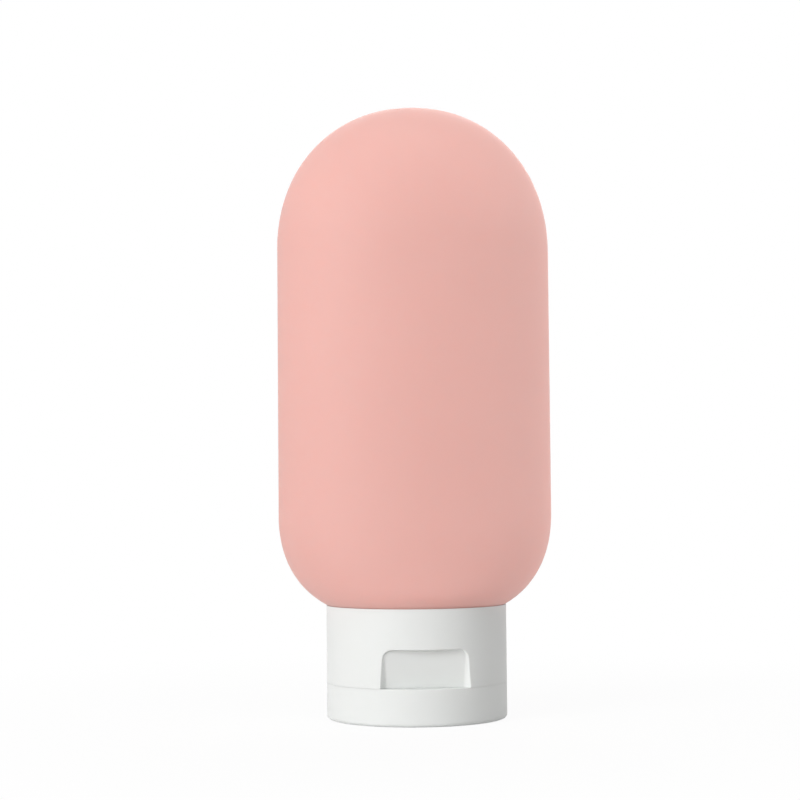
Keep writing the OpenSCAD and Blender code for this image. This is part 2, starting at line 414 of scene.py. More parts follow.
@dataclass(frozen=True)
class MouldedFinish:
    """A moulded plastic's look: colour in sRGB, sizes in mm."""

    name: str
    slot: Slot
    tint: Triple
    shade: Triple
    patch: float
    roughness: tuple[float, float]
    subsurface: float
    glow: Triple
    grain: float
    grain_depth: float
    wave: float
    wave_depth: float
    specular: float = 0.5

    def material(self) -> bpy.types.Material:
        """Build the material.

        Returns:
            A material whose colour, roughness and bump vary as the moulded surface does.
        """
        material = bpy.data.materials.new(self.name)
        material.use_nodes = True
        tree = material.node_tree
        shader = tree.nodes["Principled BSDF"]
        shader.inputs["Subsurface Weight"].default_value = self.subsurface
        shader.inputs["Subsurface Radius"].default_value = self.glow
        shader.inputs["Subsurface Scale"].default_value = MM
        shader.inputs["Specular IOR Level"].default_value = self.specular
        place = tree.nodes.new("ShaderNodeTexCoord").outputs["Object"]
        patches = self._noise(tree, place, self.patch, detail=3)
        colour = tree.nodes.new("ShaderNodeMix")
        colour.data_type = "RGBA"
        colour.inputs["A"].default_value = linear(self.tint)
        colour.inputs["B"].default_value = linear(self.shade)
        tree.links.new(patches, colour.inputs["Factor"])
        tree.links.new(colour.outputs["Result"], shader.inputs["Base Color"])
        grain = self._noise(tree, place, self.grain, detail=4)
        polish = tree.nodes.new("ShaderNodeMapRange")
        polish.inputs["To Min"].default_value = self.roughness[0]
        polish.inputs["To Max"].default_value = self.roughness[1]
        tree.links.new(grain, polish.inputs["Value"])
        tree.links.new(polish.outputs["Result"], shader.inputs["Roughness"])
        waves = self._bump(tree, self._noise(tree, place, self.wave, detail=1), self.wave_depth)
        fine = self._bump(tree, grain, self.grain_depth)
        tree.links.new(waves.outputs["Normal"], fine.inputs["Normal"])
        tree.links.new(fine.outputs["Normal"], shader.inputs["Normal"])
        return material

    @staticmethod
    def _noise(
        tree: bpy.types.NodeTree, place: bpy.types.NodeSocket, size: float, detail: float
    ) -> bpy.types.NodeSocket:
        """Add soft noise and return its output.

        Args:
            tree: The material's nodes.
            place: The coordinates to read, in metres.
            size: The size of the noise's patches in mm.
            detail: How many finer layers it has.

        Returns:
            The noise's value, from 0 to 1.
        """
        noise = tree.nodes.new("ShaderNodeTexNoise")
        noise.inputs["Scale"].default_value = 1 / (size * MM)
        noise.inputs["Detail"].default_value = detail
        tree.links.new(place, noise.inputs["Vector"])
        return noise.outputs["Fac"]

    @staticmethod
    def _bump(
        tree: bpy.types.NodeTree, height: bpy.types.NodeSocket, depth: float
    ) -> bpy.types.Node:
        """Add a bump.

        Args:
            tree: The material's nodes.
            height: The heights to read, from 0 to 1.
            depth: The bump's depth in mm.

        Returns:
            The bump's node.
        """
        bump = tree.nodes.new("ShaderNodeBump")
        bump.inputs["Distance"].default_value = depth * MM
        tree.links.new(height, bump.inputs["Height"])
        return bump


SOFT_PINK = MouldedFinish(
    name="soft matte pink",
    slot=Slot.BODY,
    tint=(0.912, 0.701, 0.669),
    shade=(0.902, 0.688, 0.655),
    patch=28,
    roughness=(0.56, 0.66),
    subsurface=0.4,
    glow=(2.2, 1.4, 1.2),
    grain=0.35,
    grain_depth=0.008,
    wave=16,
    wave_depth=0.25,
    specular=0.35,
)
SATIN_WHITE = MouldedFinish(
    name="satin white",
    slot=Slot.CAP,
    tint=(0.92, 0.928, 0.922),
    shade=(0.91, 0.919, 0.911),
    patch=12,
    roughness=(0.4, 0.5),
    subsurface=0.2,
    glow=(0.8, 0.8, 0.75),
    grain=0.3,
    grain_depth=0.004,
    wave=7,
    wave_depth=0.05,
    specular=0.15,
)
WASHER_WHITE = MouldedFinish(
    name="soft washer white",
    slot=Slot.WASHER,
    tint=(0.87, 0.875, 0.875),
    shade=(0.84, 0.85, 0.85),
    patch=4,
    roughness=(0.6, 0.75),
    subsurface=0.15,
    glow=(0.6, 0.6, 0.6),
    grain=0.25,
    grain_depth=0.012,
    wave=3,
    wave_depth=0.03,
)


class Finishes:
    """Makes each finish's material once and dresses pieces in it."""

    def __init__(self) -> None:
        """Start with no material made."""
        self._made: dict[str, bpy.types.Material] = {}
        self.dressed: dict[Slot, list[bpy.types.Object]] = {slot: [] for slot in Slot}

    def dress(self, piece: bpy.types.Object, finish: MouldedFinish) -> None:
        """Give a piece its finish and list it under the finish's slot.

        Args:
            piece: The piece.
            finish: Its finish.
        """
        if finish.name not in self._made:
            self._made[finish.name] = finish.material()
        piece.data.materials.append(self._made[finish.name])
        self.dressed[finish.slot].append(piece)


@dataclass(frozen=True)
class Shoulder:
    """The curve that a side of the body follows down to the neck's root, in mm.

    half is the body's half size there and radius the curve's size both ways. A power of 2 makes
    it round, and a higher one makes it fuller.
    """

    half: float
    radius: float
    power: float

    def _partner(self, share: float) -> float:
        """Return one coordinate of the curve, as a share of its radius, from the other."""
        return (1 - min(1.0, max(0.0, share)) ** self.power) ** (1 / self.power)

    def drop(self, r: float) -> float:
        """Return how far below the body's straight side the curve is at distance r."""
        return self.radius * self._partner((r - self.half) / self.radius + 1)

    def half_size(self, fall: float, wall: float) -> float:
        """Return the half size at a given fall below the straight side, inside a wall."""
        radius = self.radius - wall
        return self.half - self.radius + radius * self._partner(fall / radius)

    def falls(self, depth: float, wall: float, count: int) -> list[float]:
        """Space levels down the curve by equal turns.

        Args:
            depth: The last level's fall below the straight side.
            wall: How far inside the outer face the levels are.
            count: How many levels there are.

        Returns:
            Each level's fall.
        """
        radius = self.radius - wall
        turn = math.asin(min(1.0, depth / radius) ** (self.power / 2))
        return [
            radius * math.sin(turn * (i + 1) / count) ** (2 / self.power) for i in range(count)
        ]


@dataclass(frozen=True)
class SqueezeBody:
    """The blown body: dome, oval barrel, rounded shoulder and threaded neck, hollow, in mm.

    outer_counts and inner_counts are the rings on the dome and on the shoulder's lower and upper
    arc. plane_columns are the angles of the close columns beside the mould's parting plane, and
    the even columns keep plane_clear away from it, as a sine. thread_ends are the plain lengths
    of the neck above and below its thread.
    """

    tube: Tube
    dome_h: float = 27.0
    dome_power: float = 2.12
    shoulder_r: float = 19.4
    shoulder_power: float = 2.3
    shoulder_side_r: float = 4.6
    wall: float = 1.2
    root_r: float = 12.0
    neck_r: float = 10.8
    bore_r: float = 9.1
    crest_r: float = 11.9
    pitch: float = 3.2
    thread_turns: float = 1.25
    thread_start_z: float = 10.7
    thread_half_w: float = 0.85
    rim_gap: float = 0.1
    rim_edge: float = 0.2
    land_setback: float = 0.35
    mouth_setback: float = 0.3
    seam_h: float = 0.05
    pinch_h: float = 0.1
    seam_half_w: float = 0.22
    seam_start: float = 2.0
    seam_rise: float = 4.0
    pinch_rate: float = 1.6
    columns: int = 208
    plane_columns: tuple[float, ...] = (0.006, 0.012, 0.018, 0.026, 0.038, 0.055)
    plane_clear: float = 0.07
    outer_counts: tuple[int, int, int] = (46, 18, 22)
    inner_counts: tuple[int, int, int] = (26, 10, 14)
    root_inset: float = 0.05
    level_gap: float = 2.5
    bore_level_gap: float = 1.5
    bore_plain: float = 1.0
    thread_level_gap: float = 0.14
    thread_ends: tuple[float, float] = (0.8, 0.5)

    @property
    def spring_z(self) -> float:
        """Height at which the dome begins."""
        return self.tube.top_z - self.dome_h

    @property
    def root_z(self) -> float:
        """Height of the neck's root, set by where the shoulder meets the collar's rim."""
        return self.tube.rim_z + self.rim_gap - self.shoulder_climb(self.tube.cap_r - self.rim_edge)

    @property
    def shoulders(self) -> tuple[Shoulder, Shoulder]:
        """The shoulder's curves, seen from the front and from the side."""
        return (
            Shoulder(self.tube.body_w / 2, self.shoulder_r, self.shoulder_power),
            Shoulder(self.tube.body_d / 2, self.shoulder_side_r, 2.0),
        )

    def shoulder_climb(self, r: float) -> float:
        """Return the least climb of the shoulder from the neck's root out to radius r."""
        return min(curve.drop(self.root_r) - curve.drop(r) for curve in self.shoulders)

    def _half_sizes(self, z: float, wall: float) -> tuple[float, float]:
        """Return the half width and half depth of a level section.

        Args:
            z: Its height, below the dome.
            wall: How far inside the outer face it is.

        Returns:
            The half width and half depth.
        """
        front, side = (
            curve.half_size(self.root_z + curve.drop(self.root_r) - z, wall)
            for curve in self.shoulders
        )
        return front, side

    def _levels(self, wall: float, dome: int, low: int, high: int) -> list[Triple]:
        """Return the body's rings from the dome's tip down, (half width, half depth, height).

        Args:
            wall: How far inside the outer face they are.
            dome: Rings on the dome.
            low: Rings along the shoulder's lower arc.
            high: Rings along its upper arc.

        Returns:
            The rings down to the neck's root.
        """
        base_z = self.root_z + wall
        front, side = self.shoulders
        front_z, side_z = (self.root_z + curve.drop(self.root_r) for curve in (front, side))
        half_w, half_d = self._half_sizes(self.spring_z, wall)
        rings = []
        for i in range(dome):
            a = math.radians(90 * (1 - i / dome))
            rise, reach = (part ** (2 / self.dome_power) for part in (math.sin(a), math.cos(a)))
            rings.append(
                (half_w * reach, half_d * reach, self.spring_z + (self.dome_h - wall) * rise)
            )
        heights = steps(self.spring_z, front_z, self.level_gap)
        heights += [front_z - fall for fall in front.falls(front_z - side_z, wall, high)]
        heights += [side_z - fall for fall in side.falls(side_z - base_z, wall, low)]
        rings += [(*self._half_sizes(z, wall), z) for z in heights]
        return rings

    def _angles(self) -> np.ndarray:
        """Space the columns, closer together at the mould's parting plane.

        Returns:
            Their angles round each ring.
        """
        regular = [2 * math.pi * i / self.columns for i in range(self.columns)]
        close = [side + s * a for side in (0, math.pi) for a in self.plane_columns for s in (1, -1)]
        spaced = [a for a in regular if not SAME <= abs(math.sin(a)) <= self.plane_clear]
        return np.array(sorted(a % (2 * math.pi) for a in spaced + close))

    def _seam(self, rings: np.ndarray, halves: np.ndarray) -> np.ndarray:
        """Raise the fine line that the mould's halves leave, highest where they pinch the dome.

        Args:
            rings: The outer face's points.
            halves: Each ring's half width, half depth and height.

        Returns:
            The points with the line raised.
        """
        z = rings[..., 2]
        lean = np.clip((z - self.spring_z) / self.dome_h, 0, 1)
        fade = smooth_step((z - self.root_z - self.seam_start) / self.seam_rise)
        pinch = smooth_step(lean * self.pinch_rate)
        height = (self.seam_h + (self.pinch_h - self.seam_h) * pinch) * fade
        height = height * np.exp(-((rings[..., 1] / self.seam_half_w) ** 2))
        side = np.sign(rings[..., 0]) * np.sqrt(1 - lean**2)
        proud = rings.copy()
        proud[..., 0] += height * side
        proud[..., 2] += height * lean
        limit = halves[:, None, 0]
        proud[..., 0] = np.clip(proud[..., 0], -limit.max(), limit.max())
        proud[..., 2] = np.minimum(proud[..., 2], self.tube.top_z)
        return proud

    def _neck(self) -> Section:
        """Lay out the neck.

        Returns:
            Its section, from the shoulder's foot down over the neck and up its bore.
        """
        mouth_z = self.tube.mouth_z
        high_z, low_z = self.root_z - self.thread_ends[0], mouth_z + self.thread_ends[1]
        neck_levels = tuple(steps(high_z, low_z, self.thread_level_gap))
        bore_levels = tuple(steps(mouth_z + self.bore_plain, self.root_z, self.bore_level_gap))
        corners = (
            Corner(self.root_r - self.root_inset, self.root_z),
            Corner(self.neck_r, self.root_z, self.land_setback, neck_levels),
            Corner(self.neck_r, mouth_z, self.mouth_setback),
            Corner(self.bore_r, mouth_z, self.mouth_setback, bore_levels),
            Corner(self.bore_r, self.root_z + self.wall, self.mouth_setback),
            Corner(self.root_r - self.wall, self.root_z + self.wall),
        )
        return turned_section(corners, closed=False)

    def _neck_rings(self, angle: np.ndarray) -> np.ndarray:
        """Turn the neck's section round the axis and raise its thread.

        Args:
            angle: The columns' angles.

        Returns:
            The points in mm, one ring for each point of the section.
        """
        section_r, z = (part[:, None] for part in self._neck().points.T)
        thread = Thread(self.thread_start_z, self.thread_turns, self.pitch,
                        self.crest_r - self.neck_r, self.thread_half_w)
        outside = np.abs(section_r - self.neck_r) < SAME
        r = section_r + outside * thread.ridge(angle[None, :], z)
        return np.stack(np.broadcast_arrays(r * np.cos(angle), r * np.sin(angle), z), axis=-1)

    def build(self, finishes: Finishes) -> list[bpy.types.Object]:
        """Make the body.

        Args:
            finishes: Dresses the piece.

        Returns:
            The piece, riding on the bottle.
        """
        angle = self._angles()
        outer = np.array(self._levels(0, *self.outer_counts))
        inner = np.array(self._levels(self.wall, *self.inner_counts))[::-1]
        outer_rings = self._seam(self._oval(outer, angle), outer)
        rings = np.vstack([outer_rings, self._neck_rings(angle), self._oval(inner, angle)])
        piece = skin("blown_body", rings, Ends.TIPS)
        finishes.dress(piece, SOFT_PINK)
        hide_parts("squeeze_body")
        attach(piece, Carrier.BOTTLE.value)
        return [piece]

    @staticmethod
    def _oval(halves: np.ndarray, angle: np.ndarray) -> np.ndarray:
        """Draw level ovals.

        Args:
            halves: Each oval's half width, half depth and height.
            angle: The columns' angles.

        Returns:
            The ovals' points in mm.
        """
        x = halves[:, 0][:, None] * np.cos(angle)
        y = halves[:, 1][:, None] * np.sin(angle)
        return np.stack([x, y, np.broadcast_to(halves[:, 2][:, None], x.shape)], axis=-1)


@dataclass(frozen=True)
class HingeLeaf:
    """One half of the living hinge, a thin plate behind the cap, in mm.

    edge_columns are where the close columns stand at its side edge, outwards from that edge. The
    rooms and gaps after them space the cap's columns and levels round the leaf.
    """

    tube: Tube
    width: float = 10.0
    thickness: float = 0.4
    tip_back: float = 0.1
    edge_slope: float = 14.0
    root_reach: float = 0.08
    spread_deg: float = 40.0
    side_room: float = 0.5
    edge_columns: tuple[float, ...] = (0.1, 0.06, 0.03, 0.0, -0.06)
    edge_inset: float = 0.2
    rear_gap: float = 0.5
    level_room: float = 0.25
    level_gap: float = 0.04
    part_room: float = 0.12

    @property
    def span(self) -> float:
        """How far from the fold line the wall beside the leaf needs close levels."""
        return self.thickness + self.level_room

    def reach(self, x: float, from_fold: np.ndarray) -> np.ndarray:
        """Work out how far back the leaf reaches.

        Args:
            x: The distance across the hinge.
            from_fold: Heights away from the fold line.

        Returns:
            The leaf's outer face as distances behind the tube's axis, or far inside it beside
            and beyond the leaf.
        """
        tip = self.tube.fold_y - self.tip_back
        slim = np.maximum(0.0, from_fold - self.thickness / 2)
        beyond = np.maximum(0.0, from_fold - self.thickness) * self.edge_slope
        beside = max(0.0, abs(x) - self.width / 2) * self.edge_slope
        return tip - slim - beyond - beside

    def face(self, angle: float, from_fold: np.ndarray) -> tuple[np.ndarray, np.ndarray]:
        """Place one column's points on the cap's round wall, or on the leaf where it stands out.

        Args:
            angle: The column's angle from the front.
            from_fold: The points' heights away from the fold line.

        Returns:
            The points' distances from the axis and their angles.
        """
        r = self.tube.cap_r
        if abs(angle) <= math.radians(180 - self.spread_deg):
            return np.full(from_fold.shape, r), np.full(from_fold.shape, angle)
        x = r * math.sin(angle)
        round_face = np.full(from_fold.shape, math.sqrt(r * r - x * x))
        y = smooth_max(round_face, self.reach(x, from_fold), self.root_reach)
        return np.hypot(x, y), np.copysign(np.arctan2(abs(x), -y), angle)

    def columns(self, start: float) -> list[float]:
        """Space one side's columns from a given angle round to the back.

        Args:
            start: The first column's angle from the front.

        Returns:
            The angles: even up to the leaf, close together at its edge and wider behind it.
        """
        r, half = self.tube.cap_r, self.width / 2
        clear = math.pi - math.asin((half + self.side_room) / r)
        across = [half + dx for dx in self.edge_columns]
        across += steps(half - self.edge_inset, 0, self.rear_gap)
        return steps(start, clear, COLUMN_GAP) + [math.pi - math.asin(x / r) for x in across]


@dataclass(frozen=True)
class CapMoulding(ABC):
    """What the collar and the lid have in common, in mm.

    Both are sections turned round the axis, one in each column. The outer wall leaves its
    column's plane where the recess or a leaf of the hinge shapes it.
    """

    tube: Tube
    leaf: HingeLeaf

    @abstractmethod
    def _angles(self) -> np.ndarray:
        """Return the columns' angles from the front."""

    @abstractmethod
    def _face(self, angle: float, z: np.ndarray) -> tuple[np.ndarray, np.ndarray]:
        """Place the outer wall's points in one column.

        Args:
            angle: The column's angle from the front.
            z: Heights.

        Returns:
            The points' distances from the axis and their angles.
        """

    @abstractmethod
    def _corners(self, angle: float, edge_r: float) -> list[Corner]:
        """List the corners of one column's section.

        Args:
            angle: The column's angle from the front.
            edge_r: The radius of the outer wall's edge at the parting line.

        Returns:
            The corners in order.
        """

    def _threaded(self, angle: float, r: np.ndarray, z: np.ndarray) -> np.ndarray:
        """Return the distances from the axis in one column, as they are without a thread."""
        return r

    def _mould(
        self, name: str, ends: Ends, edge_z: float, far_z: float, plain_r: float
    ) -> bpy.types.Object:
        """Turn the section round the axis and make its mesh.

        Args:
            name: The piece's name.
            ends: How the section's first and last point are closed.
            edge_z: The height of the outer wall's edge at the parting line.
            far_z: The height up or down to which the wall follows its face from that edge.
            plain_r: The distance from the axis from which the points under the edge are back
                in their column's plane.

        Returns:
            The new object.
        """
        columns = []
        for angle in self._angles():
            edge_r, edge_turn = (float(part[0]) for part in self._face(angle, np.array([edge_z])))
            section = turned_section(self._corners(angle, edge_r), closed=ends is Ends.JOINED)
            r, z = section.points.T.copy()
            turn = np.full(r.shape, angle)
            wall = section.having(Role.WALL) & ((z - edge_z) * (z - far_z) < 0)
            r[wall], turn[wall] = self._face(angle, z[wall])
            under = section.having(Role.UNDER)
            share = np.clip((edge_r - r[under]) / (edge_r - plain_r), 0, 1)
            turn[under] = edge_turn + (angle - edge_turn) * share
            columns.append(polar_grid(self._threaded(angle, r, z), turn, z))
        return skin(name, np.stack(columns, axis=1), ends, CAP_SHARP_DEG)


@dataclass(frozen=True)
class CapCollar(CapMoulding):
    """The moulded collar: skirts, deck, spout, snap ring and thumb recess, in mm.

    front_columns are stretches across the recess from its middle (from, to, gap), and
    wall_level_gaps the gaps between the levels of the outer wall, from the rim down to the hinge.
    recess_top_band is how far the closest levels reach above and below the recess's top.
    """

    body: SqueezeBody
    skirt_wall: float = 1.3
    bore_r: float = 12.15
    thread_skirt_r: float = 13.25
    thread_crest_r: float = 11.1
    thread_half_w: float = 0.8
    orifice_r: float = 1.9
    spout_r: float = 3.3
    spout_h: float = 2.1
    snap_r: float = 14.75
    snap_wall: float = 1.0
    snap_h: float = 1.4
    room_r: float = 12.3
    room_half_w: float = 8.9
    room_clear: float = 0.5
    room_inset: float = 0.05
    recess_w: float = 16.0
    recess_top_w: float = 15.1
    recess_h: float = 6.9
    recess_depth: float = 3.1
    recess_top_depth: float = 2.0
    recess_corner_r: float = 1.7
    recess_draft_deg: float = 40.0
    recess_top_slope: float = 6.0
    recess_floor_reach: float = 0.45
    recess_edge_reach: float = 0.22
    recess_spread_deg: float = 40.0
    recess_limit: float = 0.99
    rim_fall: float = 0.06
    rim_crown: float = 0.45
    rim_setback: float = 0.12
    rim_clear: float = 0.3
    part_setback: float = 0.012
    room_setback: float = 0.01
    foot_setback: float = 0.12
    fine_setback: float = 0.2
    skirt_setback: float = 0.25
    groove_setback: float = 0.3
    spout_setback: float = 0.35
    bore_level_gap: float = 0.15
    bore_plain: float = 0.6
    front_columns: tuple[Triple, ...] = ((0, 5.6, 0.2), (5.6, 8.6, 0.07), (8.6, 9.5, 0.18))
    backing_gap: float = 0.02
    wall_level_gaps: tuple[float, ...] = (0.9, 0.04, 0.09, 0.22)
    wall_top_gap: float = 0.4
    recess_top_band: tuple[float, float] = (0.3, 0.6)
    recess_corner_band: float = 0.2

    @property
    def recess_top_z(self) -> float:
        """Height of the recess's top."""
        return self.tube.fold_z + self.recess_h

    def _recess_y(self, x: float, z: np.ndarray) -> np.ndarray:
        """Work out the front face at one distance from the middle.

        Args:
            x: The distance from the middle plane.
            z: Heights.

        Returns:
            How far in front of the axis the face is at each height.
        """
        r = self.tube.cap_r
        down = (self.recess_top_z - z) / self.recess_h
        floor = r - self.recess_top_depth - (self.recess_depth - self.recess_top_depth) * down
        half = (self.recess_top_w + (self.recess_w - self.recess_top_w) * down) / 2
        across = self.recess_corner_r - (half - abs(x))
        above = self.recess_corner_r - (self.recess_top_z - z)
        in_corner = (across > 0) & (above > 0)
        reach = np.hypot(across, above)
        inside = np.where(in_corner, self.recess_corner_r - reach,
                          self.recess_corner_r - np.maximum(across, above))
        sideways = np.where(in_corner, across / np.maximum(reach, 1e-9), across > above)
        near_x = np.clip(abs(x) + inside * sideways, 0, r * self.recess_limit)
        side_slope = 1 / math.tan(math.radians(self.recess_draft_deg))
        slope = side_slope * sideways**2 + self.recess_top_slope * (1 - sideways**2)
        wall = np.sqrt(r * r - near_x**2) - slope * inside
        hollow = smooth_max(floor, wall, self.recess_floor_reach)
        round_face = np.full(z.shape, math.sqrt(max(0.0, r * r - x * x)))
        return smooth_min(round_face, hollow, self.recess_edge_reach)

    def _face(self, angle: float, z: np.ndarray) -> tuple[np.ndarray, np.ndarray]:
        """Place the outer wall's points, in the recess, on the leaf or on the round wall.

        Args:
            angle: The column's angle from the front.
            z: Heights.

        Returns:
            The points' distances from the axis and their angles.
        """
        if abs(angle) < math.radians(self.recess_spread_deg):
            x = self.tube.cap_r * math.sin(angle)
            y = self._recess_y(x, z)
            return np.hypot(x, y), np.arctan2(x, y)
        return self.leaf.face(angle, z - self.tube.fold_z)

    def _rim_z(self, r: float) -> float:
        """Return the rim's height at radius r, just under the body's shoulder."""
        return self.body.root_z + self.body.shoulder_climb(r) - self.rim_fall

    def _corners(self, angle: float, edge_r: float) -> list[Corner]:
        """List the corners of one column's section.

        Args:
            angle: The column's angle from the front.
            edge_r: The radius of the outer wall's lower edge there.

        Returns:
            The corners, from the orifice's inner edge up over the rim and round to the spout.
        """
        t = self.tube
        skirt_r = t.cap_r - self.skirt_wall
        skirt_top_z = self.body.root_z - self.body.rim_gap
        front = abs(angle) < math.pi / 2
        backed = front and skirt_r * math.sin(abs(angle)) < self.recess_w / 2 + self.skirt_wall
        groove_z = t.deck_z + self.recess_h + self.skirt_wall if backed else t.deck_top_z
        bore_ends = (t.washer_top_z + self.bore_plain, skirt_top_z - self.bore_plain)
        bore_levels = tuple(steps(*bore_ends, self.bore_level_gap))
        crown_r = skirt_r + self.skirt_wall * self.rim_crown
        spout_z = t.deck_z - self.spout_h
        return [
            Corner(self.orifice_r, t.deck_top_z, self.fine_setback),
            Corner(self.bore_r, t.deck_top_z, self.fine_setback, bore_levels),
            Corner(self.bore_r, skirt_top_z, self.skirt_setback),
            Corner(self.thread_skirt_r, skirt_top_z, self.skirt_setback),
            Corner(self.thread_skirt_r, groove_z, self.groove_setback),
            Corner(skirt_r, groove_z, self.groove_setback),
            Corner(skirt_r, self._rim_z(skirt_r), self.rim_setback),
            Corner(crown_r, self._rim_z(crown_r), self.fine_setback),
            Corner(t.cap_r, self._rim_z(t.cap_r), self.rim_setback, self._wall_levels(), Role.WALL),
            Corner(edge_r, t.deck_z, self.part_setback, role=Role.UNDER),
            *self._under_deck(angle, edge_r),
            Corner(self.spout_r, t.deck_z, self.spout_setback),
            Corner(self.spout_r, spout_z, self.fine_setback),
            Corner(self.orifice_r, spout_z, self.skirt_setback),
        ]

    def _under_deck(self, angle: float, edge_r: float) -> list[Corner]:
        """List the four corners under the deck, of the snap ring or over the lid's ledge.

        Args:
            angle: The column's angle from the front.
            edge_r: The radius of the outer wall's lower edge there.

        Returns:
            The corners from the wall's edge inwards, all level where the ledge needs the room.
        """
        t = self.tube
        ring_in, ring_z = self.snap_r - self.snap_wall, t.fold_z - self.snap_h
        room_x = self.room_half_w * t.cap_r / (t.cap_r - self.skirt_wall)
        if abs(angle) >= math.pi / 2 or abs(t.cap_r * math.sin(angle)) >= room_x:
            ring = (
                (self.snap_r, t.deck_z, self.foot_setback),
                (self.snap_r, ring_z, self.fine_setback),
                (ring_in, ring_z, self.groove_setback),
                (ring_in, t.deck_z, self.foot_setback),
            )
            return [Corner(*at, role=Role.UNDER) for at in ring]
        if edge_r > self.snap_r + self.room_clear:
            inset = self.room_inset
            level = [self.snap_r, self.snap_r - inset, ring_in + inset, ring_in]
        else:
            level = [edge_r - (edge_r - self.room_r) / 4 * k for k in (1, 2, 3, 4)]
        return [Corner(r, t.deck_z, self.room_setback, role=Role.UNDER) for r in level]

    def _wall_levels(self) -> tuple[float, ...]:
        """Space the outer wall's points, close together at the recess's top and at the hinge.

        Returns:
            Their heights, from the rim down.
        """
        t, top = self.tube, self.recess_top_z
        ends = (
            t.rim_z - self.wall_top_gap,
            top + self.recess_top_band[0],
            top - self.recess_top_band[1],
            top - self.recess_corner_r - self.recess_corner_band,
            t.fold_z + self.leaf.span,
            t.deck_z + self.leaf.part_room,
        )
        gaps = (*self.wall_level_gaps, self.leaf.level_gap)
        return tuple(chained(list(zip(ends[:-1], ends[1:], gaps, strict=True))))

    def _angles(self) -> np.ndarray:
        """Space the columns, closer together at the recess's sides.

        Returns:
            Their angles from the front.
        """
        r = self.tube.cap_r
        skirt_r = r - self.skirt_wall
        room = math.asin(self.room_half_w / skirt_r)
        backing = math.asin((self.recess_w / 2 + self.skirt_wall) / skirt_r)
        side = [math.asin(x / r) for x in chained(self.front_columns)]
        side += [turn + s for turn in (room, backing) for s in (-TWIN_GAP, TWIN_GAP)]
        side += self.leaf.columns(backing + self.backing_gap)
        return mirrored(side)

    def _threaded(self, angle: float, r: np.ndarray, z: np.ndarray) -> np.ndarray:
        """Return the distances from the axis with the thread's ridge raised in the bore.

        Args:
            angle: The column's angle from the front.
            r: The points' distances from the axis.
            z: Their heights.

        Returns:
            The new distances.
        """
        body = self.body
        thread = Thread(body.thread_start_z + body.pitch / 2, body.thread_turns, body.pitch,
                        self.bore_r - self.thread_crest_r, self.thread_half_w)
        bore = np.abs(r - self.bore_r) < SAME
        ridge = thread.ridge(np.full(r.shape, angle - math.pi / 2), z)
        return np.where(bore, r - ridge, r)

    def build(self, finishes: Finishes) -> list[bpy.types.Object]:
        """Make the collar.

        Args:
            finishes: Dresses the piece.

        Returns:
            The piece, riding on the cap.
        """
        piece = self._mould(
            "collar_moulding",
            Ends.JOINED,
            edge_z=self.tube.deck_z,
            far_z=self.tube.rim_z - self.rim_clear,
            plain_r=self.spout_r + self.spout_setback + HOLD,
        )
        finishes.dress(piece, SATIN_WHITE)
        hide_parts("cap_collar")
        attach(piece, Carrier.CAP.value)
        return [piece]


